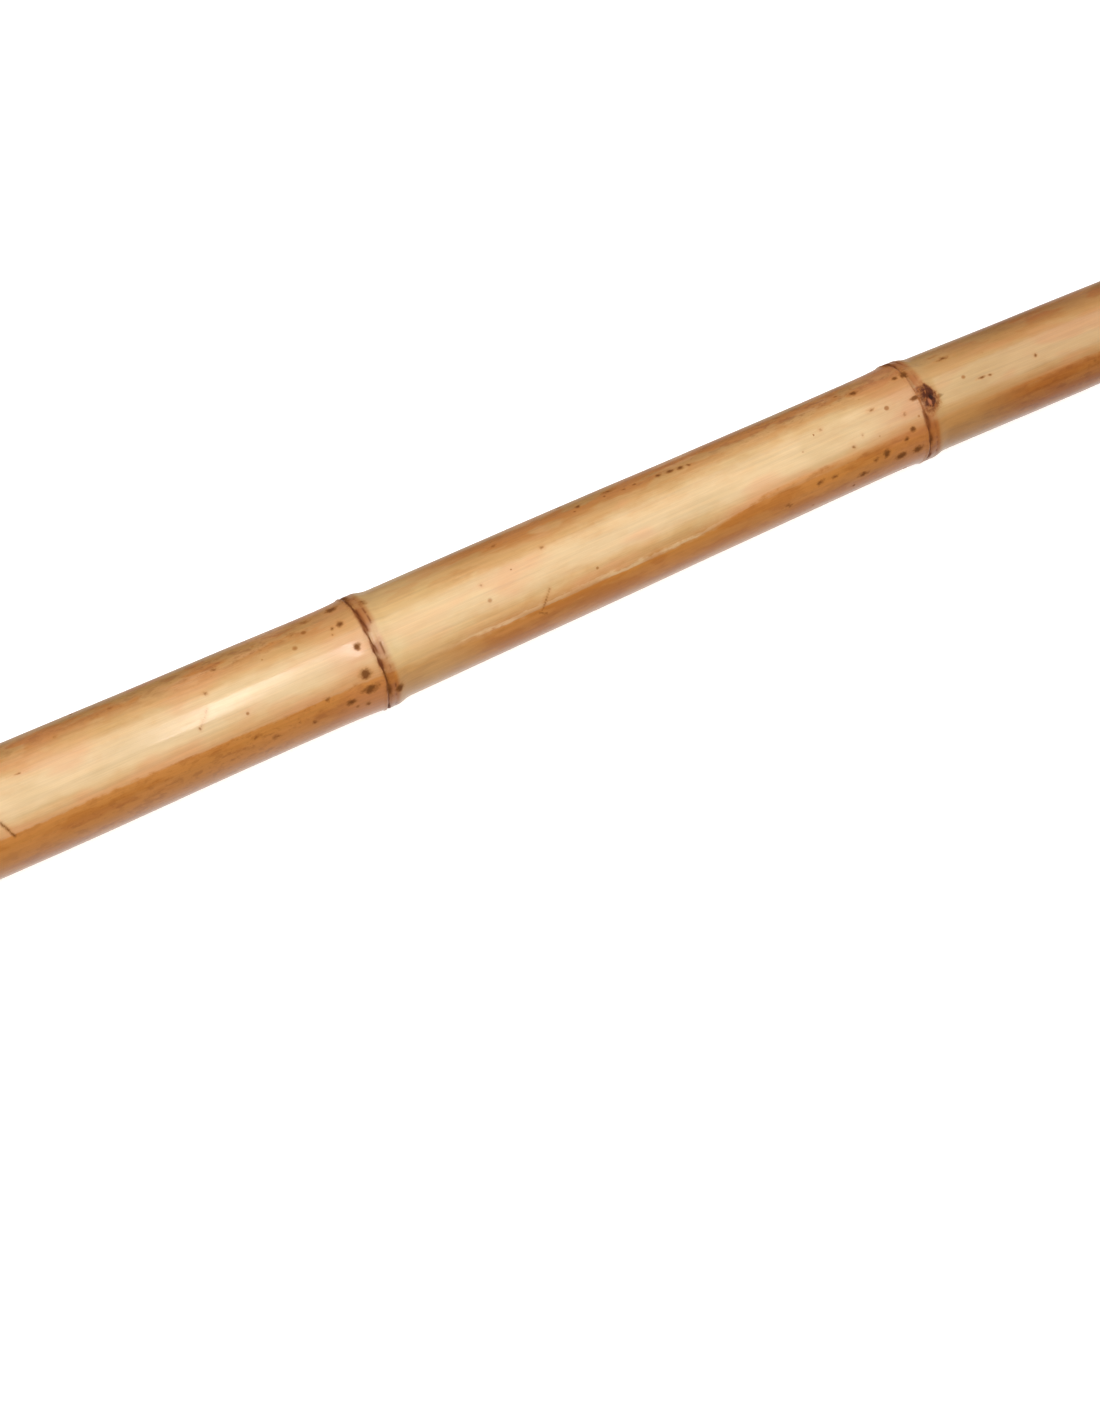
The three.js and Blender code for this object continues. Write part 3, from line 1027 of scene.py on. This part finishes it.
def lining_material():
    """The papery pith inside, wrinkled along the cane."""
    shader = Shader("bamboo_lining")
    place = shader.attribute("culm")
    wrinkles = shader.noise(place, 16, 0.7, detail=4, roughness=0.6, seed=14)
    stains = shader.noise(place, 9, 6, detail=3, seed=15)
    colour = shader.mix(shader.step(wrinkles, 0.35, 0.65), LINING, LINING_DARK)
    colour = shader.mix(shader.step(stains, 0.52, 0.7, 0, 0.6), colour, SAWN_DARK)
    return shader.finish(Base_Color=colour, Roughness=0.85, Normal=shader.bump(wrinkles, 0.25))


# ---- The studio -----------------------------------------------------------------------------

CAMERA_AIM = Vector((-0.0132, -0.0378, 0.0))
CAMERA_DISTANCE = 0.9583
CAMERA_AZIMUTH = -28.25
CAMERA_ELEVATION = 56.0
CAMERA_LENS = 73.4
CAMERA_SENSOR = 36.0
CAMERA_CLIP_START = 0.01

FLOOR_SIZE = 40.0
FLOOR_WHITE = (0.9, 0.9, 0.9, 1)
FLOOR_GLOW = 0.7

# The world's light by how far up it comes from, from -1, straight down, to 1, straight up.
WORLD_STRENGTH = 0.35
STRAIGHT_BELOW = (3.6, 3.4, 3.2)
BELOW = (1.8, 1.6, 1.4)
LOW_DOWN = (0.6, 0.5, 0.4)
WHITE = (1, 1, 1)
WORLD_STOPS = [
    (-0.95, STRAIGHT_BELOW), (-0.6, BELOW), (-0.36, BELOW),
    (-0.28, LOW_DOWN), (-0.03, LOW_DOWN), (0.03, WHITE),
]

# Rectangular lights: name, place, aim, size, power.
SOFTBOX = ("softbox", (0.0, -0.42, 1.3), (0, 0, 0), (3.0, 2.0), 35)
STRIP = ("strip", (0.175, -0.5, 1.42), (0.175, -0.5, 0), (0.03, 0.85), 3.3)


def direction(azimuth, elevation):
    """The unit vector toward a viewer, with azimuth 0 in front, at -Y, and positive toward +X."""
    a, e = math.radians(azimuth), math.radians(elevation)
    return Vector((math.sin(a) * math.cos(e), -math.cos(a) * math.cos(e), math.sin(e)))


def make_camera():
    data = bpy.data.cameras.new("camera")
    data.lens = CAMERA_LENS
    data.sensor_width = CAMERA_SENSOR
    data.clip_start = CAMERA_CLIP_START
    camera = bpy.data.objects.new("camera", data)
    back = direction(CAMERA_AZIMUTH, CAMERA_ELEVATION)
    camera.location = CAMERA_AIM + back * CAMERA_DISTANCE
    camera.rotation_euler = back.to_track_quat("Z", "Y").to_euler()
    bpy.context.scene.collection.objects.link(camera)
    bpy.context.scene.camera = camera


def make_floor():
    """A plain white floor, which the cane's gloss doesn't mirror and which lights nothing."""
    half = FLOOR_SIZE / 2
    mesh = bpy.data.meshes.new("floor")
    corners = [(-half, -half, 0), (half, -half, 0), (half, half, 0), (-half, half, 0)]
    mesh.from_pydata(corners, [], [(0, 1, 2, 3)])
    shader = Shader("floor_white")
    mesh.materials.append(shader.finish(
        Base_Color=FLOOR_WHITE, Roughness=0.9,
        Emission_Color=FLOOR_WHITE, Emission_Strength=FLOOR_GLOW,
    ))
    floor = bpy.data.objects.new("floor", mesh)
    bpy.context.scene.collection.objects.link(floor)
    floor.visible_glossy = False
    floor.visible_diffuse = False
    floor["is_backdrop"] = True


def area_light(name, place, aim, size, power):
    data = bpy.data.lights.new(name, "AREA")
    data.shape = "RECTANGLE"
    data.size, data.size_y = size
    data.energy = power
    light = bpy.data.objects.new(name, data)
    light.location = place
    back = Vector(place) - Vector(aim)
    light.rotation_euler = Vector((0, 0, 1)).rotation_difference(back).to_euler()
    bpy.context.scene.collection.objects.link(light)
    return light


def make_world():
    """White above. Below it stands in for the light off the floor, which itself lights nothing."""
    world = bpy.data.worlds.new("studio")
    world.use_nodes = True
    tree = world.node_tree
    parts = tree.nodes.new("ShaderNodeSeparateXYZ")
    tree.links.new(tree.nodes.new("ShaderNodeTexCoord").outputs["Generated"], parts.inputs[0])
    ramp = tree.nodes.new("ShaderNodeValToRGB")
    height = tree.nodes.new("ShaderNodeMapRange")
    height.inputs["From Min"].default_value = -1
    tree.links.new(parts.outputs["Z"], height.inputs["Value"])
    tree.links.new(height.outputs["Result"], ramp.inputs[0])
    for index, (up, colour) in enumerate(WORLD_STOPS):
        at = (up + 1) / 2
        stop = ramp.color_ramp.elements[0] if index == 0 else ramp.color_ramp.elements.new(at)
        stop.position = at
        stop.color = (*colour, 1)
    background = tree.nodes["Background"]
    tree.links.new(ramp.outputs[0], background.inputs["Color"])
    background.inputs["Strength"].default_value = WORLD_STRENGTH
    bpy.context.scene.world = world


def make_lights():
    """A large softbox above, and a narrow strip seen only as a patch of shine on the skin."""
    area_light(*SOFTBOX)
    strip = area_light(*STRIP)
    strip.visible_diffuse = False
    bpy.context.scene.view_settings.view_transform = "Standard"


# ---- Making everything ----------------------------------------------------------------------

make_camera()
make_floor()
make_world()
make_lights()

cane = make_cane({
    "skin": skin_material(),
    "sawn": sawn_material(),
    "lining": lining_material(),
})
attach(cane, "root")
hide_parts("cane")

boxes = {"cad": cad_bounds, "visual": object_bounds()}
{name: [list(corner) for corner in box] for name, box in boxes.items()}
